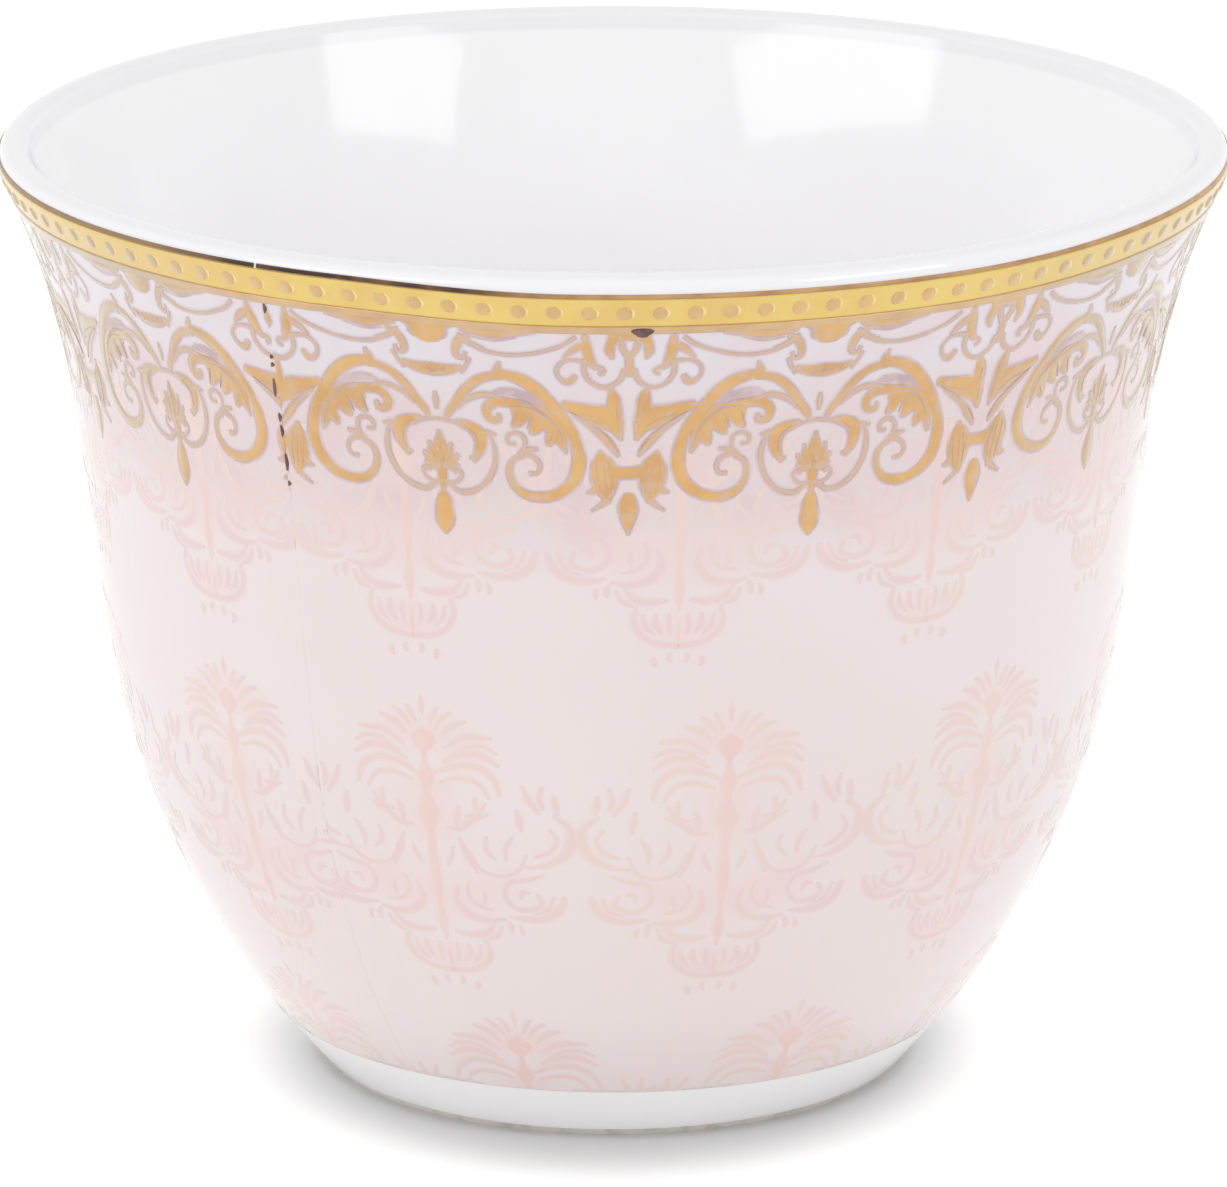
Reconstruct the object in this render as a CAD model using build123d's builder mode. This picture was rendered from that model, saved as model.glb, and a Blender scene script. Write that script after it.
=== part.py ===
"""Arabic coffee cup: a small porcelain cup without a handle, glazed, with a printed sleeve and fired gold.

Millimetres, +Z up. The origin is the middle of the ring that the cup stands on, and the front is -Y.
"""
from build123d import *
from math import asin, cos, degrees, pi, radians, sin, sqrt
import os

# Cup: overall sizes of the glazed surface. The waist is where the wall starts to flare out to the lip
rim_radius = 35.0
cup_height = 54.65
wall = 1.8
flare = 4.2
waist_drop = 15.95
waist_lean = 6.5
belly_step = 1.7
belly_drop = 13.0

# Cup: inside and foot. The glaze stops a little above the foot
floor_height = 4.2
bowl_corner_height = 10.0
foot_radius = 17.0
foot_width = 2.2
foot_flare = 0.5
glaze_edge_height = 0.5
recess_depth = 1.5
recess_draft = 0.5

# Coats
glaze = 0.15
film = 0.08

# Bead band under the lip
rim_line_width = 0.35
band_gap = 0.05
enamel_width = 1.5
band_line_width = 0.45
bead_radius = 0.4
bead_rise = 0.15
bead_facets = 12
bead_taper = 50
bead_pitch = 1.89

# Printed sleeve: its joint is left of the front, and the white strip above the foot stays bare
bare_strip = 3.65
seam_angle = -34.5
seam_gap = 0.12

# Gold border: repeats that almost close, each centred on a medallion. The pitch is measured at the waist,
# the last repeat is printed if this share of it fits, and scraps at the joint under this volume are wiped off
repeat_pitch = 19.57
least_repeat = 0.85
least_scrap = 0.05
first_medallion = -17.0
line_width = 0.3

# Gold border: sizes of one repeat, sideways from the medallion and down from the top of the border
tab_radius = 0.95
swag_start, swag_end, swag_sag = (1.7, 0.7), (8.0, 0.15), 0.75
garland_half, garland_top, garland_sag, garland_rise = 1.6, 2.2, 0.85, 0.35
scroll_wall = (7.7, 8.0)
scroll_width = 0.6
scroll_bowl = 3.9
scroll_crest = (3.6, 2.2)
scroll_foot = (0.45, 5.3)
eye_top = (4.6, 7.3)
eye_end = (5.2, 8.5)
acanthus = [((7.2, 6.9), (3.3, 4.0), 0.5), ((6.9, 6.0), (2.6, 5.0), 0.55), ((5.0, 4.7), (3.1, 6.1), 0.35)]
lyre_top = (0.9, 5.9)
lyre_side = (2.9, 8.1)
lyre_end = (0.42, 9.4)
lyre_leaf = ((1.2, 5.7), (2.0, 8.2), 0.3)
palmette_root = 9.7
palmette_lobes = [(0.0, 3.5, 0.26), (16.0, 2.9, 0.24), (34.0, 2.2, 0.22)]
medallion_drop_top, medallion_drop_length, medallion_drop_fullness = 10.05, 2.4, 0.57

# Gold border: sizes of one leaf cluster, between two medallions
hanger_reach = 1.75
hanger_drop, hanger_bowl = 3.3, 1.05
loop_reach, loop_drop, loop_radius = 3.3, 2.75, 0.5
wing_gap = 0.36
wing_top, wing_bottom, wing_width = 4.4, 7.5, 2.6
bud_reach, bud_top, bud_length, bud_fullness = 1.25, 7.2, 3.1, 0.7
bud_bar_top, bud_bar_height = 8.0, 0.9
foot_leaf = ((1.0, 9.9), (1.95, 10.75), 0.12)
cluster_drop_top, cluster_drop_length, cluster_drop_fullness = 9.75, 2.25, 0.52

# Places that follow from the sizes
lip_round = wall / 2
band_top = cup_height - lip_round
enamel_top = band_top - rim_line_width - band_gap
enamel_low = enamel_top - enamel_width
band_line_top = enamel_low - band_gap
border_top = band_line_top - band_line_width
waist_radius = rim_radius - flare
repeat_angle = degrees(repeat_pitch / waist_radius)
repeat_count = int(360 / repeat_angle + 1 - least_repeat)
cluster_reach = repeat_angle / 2
repeats = range(repeat_count)
last_medallion = first_medallion + repeat_angle * (repeat_count - 1)
reach = 2 * rim_radius

# Joints of the wall's arcs, from the foot to the lip, each with the wall's upward direction there
waist = Vector(waist_radius, cup_height - waist_drop)
waist_up = Vector(sin(radians(waist_lean)), cos(radians(waist_lean)))
belly = waist - Vector(belly_step, belly_drop)
glaze_edge = Vector(foot_radius + foot_flare, glaze_edge_height)
side_arc = TangentArc(waist, belly, tangent=waist_up * -1)
belly_up = (side_arc % 1) * -1
foot_arc = TangentArc(belly, glaze_edge, tangent=belly_up * -1)
edge_up = (foot_arc % 1) * -1

# The flare is the arc that leaves the waist and touches the round of the lip
lip_centre = Vector(rim_radius - lip_round, cup_height - lip_round)
to_lip = lip_centre - waist
waist_out = Vector(waist_up.Y, -waist_up.X)
flare_radius = (to_lip.dot(to_lip) - lip_round**2) / (2 * (lip_round + waist_out.dot(to_lip)))
flare_centre = waist + waist_out * flare_radius
lip_joint = flare_centre + (lip_centre - flare_centre) * (flare_radius / (flare_radius + lip_round))
flare_arc = TangentArc(waist, lip_joint, tangent=waist_up)
lip_up = flare_arc % 1

# Where the inside leaves the wall's own curve and turns into the floor
foot_centre = foot_arc.arc_center
corner_drop = bowl_corner_height - foot_centre.Y
corner = Vector(foot_centre.X + sqrt(foot_arc.radius**2 - corner_drop**2), bowl_corner_height)
corner_up = Vector(-corner_drop, corner.X - foot_centre.X).normalized()


def inward(point, up, depth):
    """A point of the wall moved square to the wall, towards the axis."""
    return point + Vector(-up.Y, up.X) * depth


def lip_top(depth):
    """The highest point of the lip, at a depth under the glazed surface."""
    return lip_centre + Vector(0, lip_round - depth)


def wall_line(depth):
    """The outside from the glaze's edge to the top of the lip; below zero the depth is outside the glaze."""
    waist_here = inward(waist, waist_up, depth)
    belly_here = inward(belly, belly_up, depth)
    lip_here = inward(lip_joint, lip_up, depth)
    TangentArc(waist_here, belly_here, tangent=waist_up * -1)
    TangentArc(belly_here, inward(glaze_edge, edge_up, depth), tangent=belly_up * -1)
    TangentArc(waist_here, lip_here, tangent=waist_up)
    TangentArc(lip_here, lip_top(depth), tangent=lip_up)


def bowl_line(depth):
    """The inside from the top of the lip to the axis, at a depth under the glazed surface."""
    far = wall - depth
    waist_here = inward(waist, waist_up, far)
    belly_here = inward(belly, belly_up, far)
    lip_here = inward(lip_joint, lip_up, far)
    corner_here = inward(corner, corner_up, far)
    floor_here = floor_height - depth
    corner_round = (corner_here.Y - floor_here) / (1 - corner_up.X)
    floor_edge = Vector(corner_here.X - corner_round * corner_up.Y, floor_here)
    TangentArc(lip_top(depth), lip_here, tangent=(-1, 0))
    TangentArc(waist_here, lip_here, tangent=waist_up)
    TangentArc(waist_here, belly_here, tangent=waist_up * -1)
    TangentArc(belly_here, corner_here, tangent=belly_up * -1)
    TangentArc(corner_here, floor_edge, tangent=corner_up * -1)
    Line(floor_edge, (0, floor_here))


def film_face(low, high, inner, outer):
    """Section of a film on the outside, between two heights and between two lifts off the glaze."""
    with BuildLine() as outline:
        wall_line(-inner)
        wall_line(-outer)
        Line(inward(glaze_edge, edge_up, -inner), inward(glaze_edge, edge_up, -outer))
        Line(lip_top(-inner), lip_top(-outer))
    make_face(outline.edges())
    with Locations((0, low)):
        Rectangle(reach, high - low, align=(Align.MIN, Align.MIN), mode=Mode.INTERSECT)


def strip_face(foot, head):
    """Section of a flat strip laid against the wall, from its lower to its upper inner corner."""
    up = (head - foot).normalized()
    with BuildLine() as outline:
        Polyline(foot, head, inward(head, up, -film), inward(foot, up, -film), close=True)
    make_face(outline.edges())


def flare_point(height):
    """The point of the flare at a height."""
    across = sqrt(flare_radius**2 - (height - flare_centre.Y) ** 2)
    return Vector(flare_centre.X - across, height)


def leaf(base, tip, fullness):
    """A leaf: two equal bows from its base to its tip."""
    with BuildLine() as outline:
        SagittaArc(base, tip, fullness)
        SagittaArc(tip, base, fullness)
    make_face(outline.edges())


def below(point):
    """A point of the border, given sideways and down from the border's top."""
    return Vector(point[0], border_top - point[1])


def drop_face(top, length, fullness):
    """A hanging drop on the middle line."""
    leaf(below((0, top)), below((0, top + length)), fullness)


def turned(angle):
    """The place of a motif drawn at the front and turned about the cup."""
    return Location((0, 0, 0), (0, 0, angle))


def ring_of(motif, places):
    """Copies of a motif round the cup. They stand apart, so they are a group of solids with nothing to fuse."""
    return Compound([solid for place in places for solid in motif.part.moved(place).solids()])


medallion_places = [turned(first_medallion + repeat_angle * k) for k in repeats]
cluster_places = [turned(first_medallion + repeat_angle * (k + 0.5)) for k in repeats[:-1]]
seam_plane = Plane((0, 0, 0), x_dir=(0, 0, 1), z_dir=(cos(radians(seam_angle)), sin(radians(seam_angle)), 0))

# Fired porcelain body: wall, floor and foot ring in one piece, bare under the foot
with BuildPart() as cup_body:
    with BuildSketch(Plane.XZ):
        with BuildLine():
            wall_line(glaze)
            bowl_line(glaze)
            foot_inner = foot_radius - foot_width
            Line(inward(glaze_edge, edge_up, glaze), (foot_radius, 0))
            Line((foot_radius, 0), (foot_inner, 0))
            Line((foot_inner, 0), (foot_inner - recess_draft, recess_depth))
            Line((foot_inner - recess_draft, recess_depth), (0, recess_depth))
            Line((0, recess_depth), (0, floor_height - glaze))
        make_face()
    revolve(axis=Axis.Z)

# Clear glaze: outside, over the lip and inside, one coat that stops short of the foot
with BuildPart() as glaze_coat:
    with BuildSketch(Plane.XZ):
        with BuildLine():
            wall_line(0)
            bowl_line(0)
            wall_line(glaze)
            bowl_line(glaze)
            Line(glaze_edge, inward(glaze_edge, edge_up, glaze))
            Line((0, floor_height), (0, floor_height - glaze))
        make_face()
    revolve(axis=Axis.Z)

# Glaze in the recess under the foot, cut off from the rest by the bare ring
with BuildPart() as base_glaze:
    with BuildSketch(Plane.XY.offset(recess_depth - glaze)):
        Circle(foot_radius - foot_width - recess_draft)
    extrude(amount=glaze)

# Gold line at the lip: it touches the round of the lip at the middle of its width
rim_turn = asin(rim_line_width / lip_round)
rim_corner = lip_round / cos(rim_turn / 2)
with BuildPart() as rim_line:
    with BuildSketch(Plane.XZ):
        rim_low = lip_centre + Vector(cos(rim_turn), -sin(rim_turn)) * rim_corner
        strip_face(rim_low, lip_centre + Vector(rim_corner, 0))
    revolve(axis=Axis.Z)

# Yellow enamel band
with BuildPart() as enamel_band:
    with BuildSketch(Plane.XZ):
        strip_face(flare_point(enamel_low), flare_point(enamel_top))
    revolve(axis=Axis.Z)

# One gold bead: a low faceted dome seated on the middle of the enamel
enamel_up = (flare_point(enamel_top) - flare_point(enamel_low)).normalized()
enamel_out = inward(Vector(0, 0), enamel_up, -1)
bead_seat = (flare_point(enamel_top) + flare_point(enamel_low)) / 2 + enamel_out * film
bead_plane = Plane((0, -bead_seat.X, bead_seat.Y), x_dir=(1, 0, 0), z_dir=(0, -enamel_out.X, enamel_out.Y))
with BuildPart() as bead:
    with BuildSketch(bead_plane):
        RegularPolygon(bead_radius, bead_facets)
    extrude(amount=bead_rise, taper=bead_taper)

# Row of gold beads round the enamel band
bead_count = round(2 * pi * bead_seat.X / bead_pitch)
gold_beads = ring_of(bead, PolarLocations(0, bead_count))

# Gold line under the enamel band
with BuildPart() as band_line:
    with BuildSketch(Plane.XZ):
        strip_face(flare_point(border_top), flare_point(band_line_top))
    revolve(axis=Axis.Z)

# Printed sleeve: the pink ground, wrapped once round the cup with an open joint
with BuildPart() as pink_sleeve:
    with BuildSketch(Plane.XZ):
        film_face(bare_strip, border_top, 0, film)
    revolve(axis=Axis.Z)
    with BuildSketch(Plane.XY):
        with Locations(Rotation(0, 0, seam_angle)):
            Rectangle(seam_gap, reach, align=(Align.CENTER, Align.MAX))
    extrude(amount=cup_height, mode=Mode.SUBTRACT)

# Skin that the gold border is cut from, on the sleeve
with BuildPart() as border_skin:
    with BuildSketch(Plane.XZ):
        film_face(bare_strip, border_top, film, 2 * film)
    revolve(axis=Axis.Z)

# Festoons under the band: a tab, a garland and two hanging lines at each medallion
with BuildPart() as festoon:
    with BuildSketch(Plane.XZ):
        with Locations(below((0, 0))):
            Circle(tab_radius)
        with BuildLine():
            SagittaArc(below(swag_start), below(swag_end), -swag_sag)
        trace(line_width=line_width)
        mirror(about=Plane.YZ)
        with BuildLine():
            garland_ends = [below((side * garland_half, garland_top)) for side in (-1, 1)]
            SagittaArc(garland_ends[0], garland_ends[1], -garland_sag)
            SagittaArc(garland_ends[0], garland_ends[1], -garland_rise)
        make_face()
    extrude(amount=reach)
    add(border_skin.part, mode=Mode.INTERSECT)
gold_festoons = ring_of(festoon, medallion_places)

# Big scrolls with their acanthus leaves, a mirrored pair at each medallion
with BuildPart() as scroll:
    with BuildSketch(Plane.XZ):
        with BuildLine():
            wall_point = below(scroll_wall)
            bowl_end = wall_point - Vector(scroll_bowl, 0)
            TangentArc(wall_point, below(scroll_crest), tangent=(0, 1))
            TangentArc(wall_point, bowl_end, tangent=(0, -1))
            eye = TangentArc(bowl_end, below(eye_top), tangent=(0, 1))
            TangentArc(below(eye_top), below(eye_end), tangent=eye % 1)
        trace(line_width=scroll_width)
        with BuildLine():
            TangentArc(below(scroll_foot), below(scroll_crest), tangent=(0, 1))
        trace(line_width=scroll_width)
        for base, tip, fullness in acanthus:
            leaf(below(base), below(tip), fullness)
        mirror(about=Plane.YZ)
    extrude(amount=reach)
    add(border_skin.part, mode=Mode.INTERSECT)
gold_scrolls = ring_of(scroll, medallion_places)

# Medallion: a lyre of two small scrolls round a palmette
with BuildPart() as lyre:
    with BuildSketch(Plane.XZ):
        with BuildLine():
            TangentArc(below(lyre_side), below(lyre_top), tangent=(0, 1))
            TangentArc(below(lyre_side), below(lyre_end), tangent=(0, -1))
        trace(line_width=line_width)
        leaf(below(lyre_leaf[0]), below(lyre_leaf[1]), lyre_leaf[2])
        root = below((0, palmette_root))
        for angle, length, fullness in palmette_lobes:
            leaf(root, root + Vector(0, length).rotate(Axis.Z, -angle), fullness)
        mirror(about=Plane.YZ)
    extrude(amount=reach)
    add(border_skin.part, mode=Mode.INTERSECT)
gold_medallions = ring_of(lyre, medallion_places)

# Drops that hang from the medallions
with BuildPart() as medallion_drop:
    with BuildSketch(Plane.XZ):
        drop_face(medallion_drop_top, medallion_drop_length, medallion_drop_fullness)
    extrude(amount=reach)
    add(border_skin.part, mode=Mode.INTERSECT)
medallion_drops = ring_of(medallion_drop, medallion_places)

# Leaf cluster between two medallions: hooks and loops above, wings, and a pair of buds joined by a bar
with BuildPart() as cluster:
    with BuildSketch(Plane.XZ):
        with BuildLine():
            hook_top = below((hanger_reach, 0))
            hook_low = below((hanger_reach, hanger_drop))
            Line(hook_top, hook_low)
            TangentArc(hook_low, hook_low - Vector(hanger_bowl, 0), tangent=(0, -1))
        trace(line_width=line_width)
        with Locations(below((loop_reach, loop_drop))):
            Circle(loop_radius + line_width / 2)
            Circle(loop_radius - line_width / 2, mode=Mode.SUBTRACT)
        with BuildLine():
            wing_tip = (wing_gap + wing_width, wing_bottom - wing_width)
            wing_points = [(wing_gap, wing_top), (wing_gap, wing_bottom), wing_tip]
            Polyline(*[below(p) for p in wing_points], close=True)
        make_face()
        leaf(below((bud_reach, bud_top)), below((bud_reach, bud_top + bud_length)), bud_fullness)
        leaf(below(foot_leaf[0]), below(foot_leaf[1]), foot_leaf[2])
        mirror(about=Plane.YZ)
        with Locations(below((0, bud_bar_top))):
            Rectangle(2 * bud_reach, bud_bar_height, align=(Align.CENTER, Align.MAX))
    extrude(amount=reach)
    add(border_skin.part, mode=Mode.INTERSECT)

# The sleeve's joint runs through one cluster: each side of the joint keeps what its end of the print shows
with BuildPart() as cluster_start:
    with Locations(turned(first_medallion - cluster_reach)):
        add(cluster.part, clean=False)
    split(bisect_by=seam_plane, keep=Keep.TOP)
with BuildPart() as cluster_end:
    with Locations(turned(last_medallion + cluster_reach)):
        add(cluster.part, clean=False)
    split(bisect_by=seam_plane, keep=Keep.BOTTOM)
whole_clusters = ring_of(cluster, cluster_places)
joint_scraps = cluster_start.solids() + cluster_end.solids()
joint_clusters = joint_scraps.filter_by(lambda solid: solid.volume > least_scrap)
gold_clusters = Compound(whole_clusters.solids() + joint_clusters)

# Drops that hang between the buds
with BuildPart() as cluster_drop:
    with BuildSketch(Plane.XZ):
        drop_face(cluster_drop_top, cluster_drop_length, cluster_drop_fullness)
    extrude(amount=reach)
    add(border_skin.part, mode=Mode.INTERSECT)
cluster_drops = ring_of(cluster_drop, cluster_places)

pieces = {
    "cup_body": cup_body.part,
    "glaze_coat": glaze_coat.part,
    "base_glaze": base_glaze.part,
    "rim_line": rim_line.part,
    "enamel_band": enamel_band.part,
    "gold_beads": gold_beads,
    "band_line": band_line.part,
    "pink_sleeve": pink_sleeve.part,
    "gold_festoons": gold_festoons,
    "gold_scrolls": gold_scrolls,
    "gold_medallions": gold_medallions,
    "medallion_drops": medallion_drops,
    "gold_clusters": gold_clusters,
    "cluster_drops": cluster_drops,
}
os.makedirs("parts", exist_ok=True)
for name, piece in pieces.items():
    piece.label = name
    export_step(piece, f"parts/{name}.step")
    print(name, len(piece.solids()), "solids", round(piece.volume, 2), "mm3")
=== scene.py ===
"""Looks of the arabic coffee cup: glazed porcelain, a pale printed sleeve, a bead band and a gold border.

Lengths are in millimetres until a mesh is made, because the print is drawn in millimetres on the wall.
Angles are degrees round the cup from the front, -Y, positive towards +X.
"""
from math import asin, cos, pi, radians, sin

import bmesh
import bpy
import numpy as np
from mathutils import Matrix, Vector


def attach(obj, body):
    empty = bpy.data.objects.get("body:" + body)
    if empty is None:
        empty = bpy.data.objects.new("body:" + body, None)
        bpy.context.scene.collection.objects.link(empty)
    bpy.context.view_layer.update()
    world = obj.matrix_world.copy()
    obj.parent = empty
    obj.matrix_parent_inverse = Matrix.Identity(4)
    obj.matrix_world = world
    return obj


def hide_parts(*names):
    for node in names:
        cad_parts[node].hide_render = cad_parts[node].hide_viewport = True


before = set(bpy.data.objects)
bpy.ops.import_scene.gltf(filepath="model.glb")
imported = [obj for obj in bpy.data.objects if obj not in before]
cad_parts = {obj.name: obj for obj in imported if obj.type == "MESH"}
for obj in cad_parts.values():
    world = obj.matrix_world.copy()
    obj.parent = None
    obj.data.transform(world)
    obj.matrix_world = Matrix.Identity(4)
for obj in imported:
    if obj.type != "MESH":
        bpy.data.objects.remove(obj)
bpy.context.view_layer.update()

MM = 0.001

# Cup: the wall's sizes, as in the solids
rim_radius, cup_height, wall = 35.0, 54.65, 1.8
waist, waist_lean = np.array([30.8, 38.7]), radians(6.5)
belly, glaze_edge = np.array([29.1, 25.7]), np.array([17.5, 0.5])
floor_height, bowl_corner_height = 4.2, 10.0
glaze, film, sink = 0.15, 0.08, 0.02
lip_round = wall / 2
lip_centre = np.array([rim_radius - lip_round, cup_height - lip_round])

# Glaze: start of its upper rows, the step to them, the lip's turn past a half and a short step up the wall
upper_start, upper_step, lip_past, wall_step = 30.4, 0.4, 0.42, 0.01

# Meshes: steps round a film, a sharp edge, and how near to a cut counts as on it
round_steps, sharp_edge, cut_reach = 480, radians(50), 1e-6

# Bands under the lip, by height
rim_line_low, rim_line_high, rim_line_gap = 53.44, 53.68, 0.2
enamel_low, enamel_high = 51.74, 53.43
band_line_low, band_line_high, lower_line_film = 51.35, 51.80, 0.15

# Beads on the enamel, their dome, and the painted highlight on each: sideways, up and width
bead_height, bead_radius, bead_rise, bead_count, first_bead = 52.6, 0.4, 0.13, 115, 0.95
bead_rings, bead_sides, bead_sunk, bead_round = 5, 20, 0.01, 2.5
BEAD_LIGHT = [(0.3, 0.36, 0.04), (0.47, 0.16, 0.15), (0.5, -0.06, 0.17), (0.42, -0.26, 0.04)]

# The print lies a little higher all round than at its dip near the front: how much, the dip's angles, and the
# heights at which the rise starts and is full
print_rise, dip_start, dip_low, dip_high, dip_end = 0.32, -26, -4, 32, 66
rise_start, rise_full = 30.0, 38.0

# Printed sleeve and its joint
bare_strip = 3.65
border_top = band_line_low
joint_low, joint_high, joint_bend = -34.5, -33.3, 46.0
joint_gap, joint_edge = 0.003, 0.12

# Sleeve: its rows, how far they are from its hems, and its thickness beside the joint, at it and at the hems
sleeve_rows, hem_low, hem_high = 150, 0.05, 0.02
beside_joint, at_joint, at_hem = 0.97 * film, 0.85 * film, film / 3

# Heights between which the border and the palms are cut straight at the joint
border_cut, palm_cut = (42.0, border_top), (20.0, 40.0)

# Gold border: medallions at the front, the last one beside the joint, their count and step,
# how much the last one is squeezed, and the radius that sideways sizes are measured at
front_medallions, last_medallion, medallion_count, repeat_angle = (-17.0, 19.9, 57.8), 310.4, 10, 36.4
last_squeeze = 0.92
border_radius = 32.3

# Painted reflection at the cup's sides, which pales the gold and enamel there: where it starts and is full,
# by distance from the middle, and its share
side_reflection_start, side_reflection_full, side_reflection_share = 18.0, 29.0, 0.7

# Layers of print above the sleeve: where each starts and how much its middle rises, and where soft edges lie
haze_layer = (0.003, 0.001)
soft_rest = 0.005
damask_layer = (0.009, 0.005)
outline_layer = (0.016, 0.008)
gold_layer = (0.026, 0.014)
vein_layer = (0.042, 0.01)
light_layer = (0.0, 0.02)
flake_layer = (0.06, 0.02)
fleck_layer = (0.12, 0.03)

# Strokes: the step between points, the turns of a round end and its greatest length
point_step, end_turns, longest_end = 0.16, (82, 55, 28), 0.15

# Shoulders of a stroke in shares of its half width and rise. A soft stroke has a full core from a half width
# of so many soft edges, a small one below that, and less ink beside its ends
shoulder_out, shoulder_rise, soft_full, soft_core, end_ink = 0.8, 0.75, 1.6, 0.375, 0.6

# Gold lines up to the first width are faint and from the second width full
thin_line, full_line = 0.2, 0.6

# Widening of outlines and palms, and the soft edge of each ink
outline_edge, outline_soft = 0.3, 0.14
palm_edge, palm_soft, palm_faint = 0.14, 0.2, 0.2

# Haze: its ink, and where it starts to fade to its ends and sides
haze_ink, haze_end, haze_side = 0.4, 0.55, 0.1

# Tones: two colours, and the noise that mixes them by waves per metre, detail, start and end
TONES = {
    "porcelain_glaze": ((248, 247, 248), (250, 249, 250), 60, 3, 0.35, 0.65),
    "bare_porcelain": ((226, 221, 214), (204, 196, 187), 900, 4, 0.4, 0.75),
    "sleeve_ground": ((227, 220, 225), (230, 212, 217), 190, 2, 0.45, 0.75),
    "ground_rose": ((227, 211, 212), (226, 202, 203), 190, 2, 0.45, 0.75),
    "ground_pink": ((235, 223, 223), (234, 220, 220), 45, 2, 0.35, 0.7),
    "damask_pink": ((236, 205, 200), (236, 211, 204), 170, 3, 0.4, 0.66),
    "damask_cream": ((232, 207, 207), (233, 212, 203), 120, 3, 0.4, 0.66),
    "mauve_ink": ((196, 170, 172), (212, 190, 192), 700, 3, 0.4, 0.66),
    "vein_ink": ((196, 164, 150), (210, 182, 168), 700, 3, 0.35, 0.7),
    "dark_flake": ((92, 62, 66), (128, 92, 90), 1500, 3, 0.4, 0.7),
    "yellow_enamel": ((237, 206, 115), (231, 194, 109), 260, 3, 0.35, 0.7),
    "pale_shine": ((246, 226, 160), (243, 216, 140), 1200, 2, 0.4, 0.7),
    "border_gold": ((220, 173, 106), (205, 157, 95), 420, 4, 0.32, 0.7),
    "line_gold": ((214, 178, 130), (200, 162, 118), 420, 4, 0.32, 0.7),
    "bead_gold": ((222, 182, 116), (206, 166, 108), 420, 4, 0.32, 0.7),
    "rim_gold": ((196, 158, 112), (170, 130, 88), 500, 3, 0.35, 0.7),
    "rim_dark": ((66, 44, 34), (120, 88, 56), 300, 3, 0.4, 0.7),
}
noise_roughness, coat_roughness, print_coat = 0.55, 0.05, 0.5

# Tones by height, from start to full: the lip's painted shade down from the cup's top, which keeps the lit
# lip from showing brighter than the inside, and the ground's up from the table
LIP_PAINTED_SHADE = [(1.3, 1.0, (241, 240, 243)), (0.45, 0.04, (231, 230, 232))]
GROUND_TONES = [(50.0, 45.0, "ground_rose"), (41.5, 36.0, "ground_pink")]

# Relief: waves per metre, detail and depth
GLAZE_RELIEF, SLEEVE_RELIEF = (130, 1, 0.02), (150, 1, 0.02)
BARE_RELIEF, GOLD_RELIEF = (5000, 2, 0.03), (2500, 2, 0.004)

# Gold: roughness, sheen, tone of thin lines, and the noise of its wear and of its roughness with their reach
gold_roughness, gold_sheen, gold_sheen_roughness, gold_sheen_tint = 0.34, 0.8, 0.4, (226, 228, 218)
faint_gold, GOLD_WEAR = (206, 176, 156), (1100, 3, 0.5, 0.72, 0.0, 0.6)
GOLD_GLOSS = (900, 2, 0.3, 0.7, 0.28, 0.44)

# The lip's gold line, from the middle to the left: where it is darker, and where a painted reflection makes
# it paler, from start to full
RIM_DARK, RIM_REFLECTION, rim_reflection_tone = (-1.0, -9.0), (-19.0, -27.0, 0.75), (168, 138, 104)

# Light: a soft white room, brighter at the sides and overhead
room_light, room_sides, room_top, room_front = 0.40, 0.36, 0.62, 0.12

# Light: two soft boxes, in metres and watts: distance, then angle, height angle, width, height and power
box_distance = 1.2
SOFT_BOXES = [("left_box", -52, 29, 0.90, 0.34, 2.2), ("right_box", 51, 28, 0.58, 0.34, 1.5)]

# Floor: a little darker as it is seen, a painted deepening of the shadow by the foot, and it glows more away
# from the cup, a painted fade of that shadow, so only a shadow by the foot shows
floor_white, floor_seen, floor_glow, far_glow = 0.96, 0.70, 0.5, 0.37
glow_start, glow_full, glow_centre, glow_squeeze = 18.6, 27.5, (-0.2, 0.0, 0.0), (1.18, 1.0, 1.0)
far_start, far_full, floor_half = 30.0, 60.0, 2500.0

# Camera, as the photograph was taken
camera_place, camera_pitch, camera_lens = (0, -451.6, 157.4), radians(16.09), 237.8
camera_sensor, camera_near = 36.0, 10.0

# Strokes of the gold border: sideways from the motif's axis, down from the border's top, and width
TAB = [
    [(0, 0, 2.7), (0, 0.15, 2.2), (0, 0.5, 2), (0, 0.78, 1.65), (0, 0.93, 1.05)],
]
FESTOON = [
    [(1.55, 2.45, 0.3), (0.85, 2.65, 0.6), (0, 2.72, 0.75)],
    [(2.05, 1.86, 0.2), (1.85, 2.32, 0.18), (1.55, 2.78, 0.12)],
    [(2.15, 0.41, 0.3), (1.65, 0.79, 0.42), (1.4, 1.33, 0.4), (1.42, 1.75, 0.3), (1.78, 1.86, 0.2),
     (1.88, 1.5, 0.16)],
    [(1.7, 0.55, 0.3), (2.3, 0.95, 0.28), (2.9, 1.15, 0.12)],
]
SWAG = [
    [(1.64, 0.41, 0.16), (2.01, 0.72, 0.24), (2.85, 1.25, 0.2), (3.94, 1.44, 0.17), (5.15, 1.33, 0.17),
     (6.24, 1.02, 0.17), (7.08, 0.64, 0.2), (7.62, 0.22, 0.18)],
    [(1.8, 0.02, 0.3), (3.2, 0.24, 0.5), (4.6, 0.1, 0.35), (5.6, 0, 0.1)],
]
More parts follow.
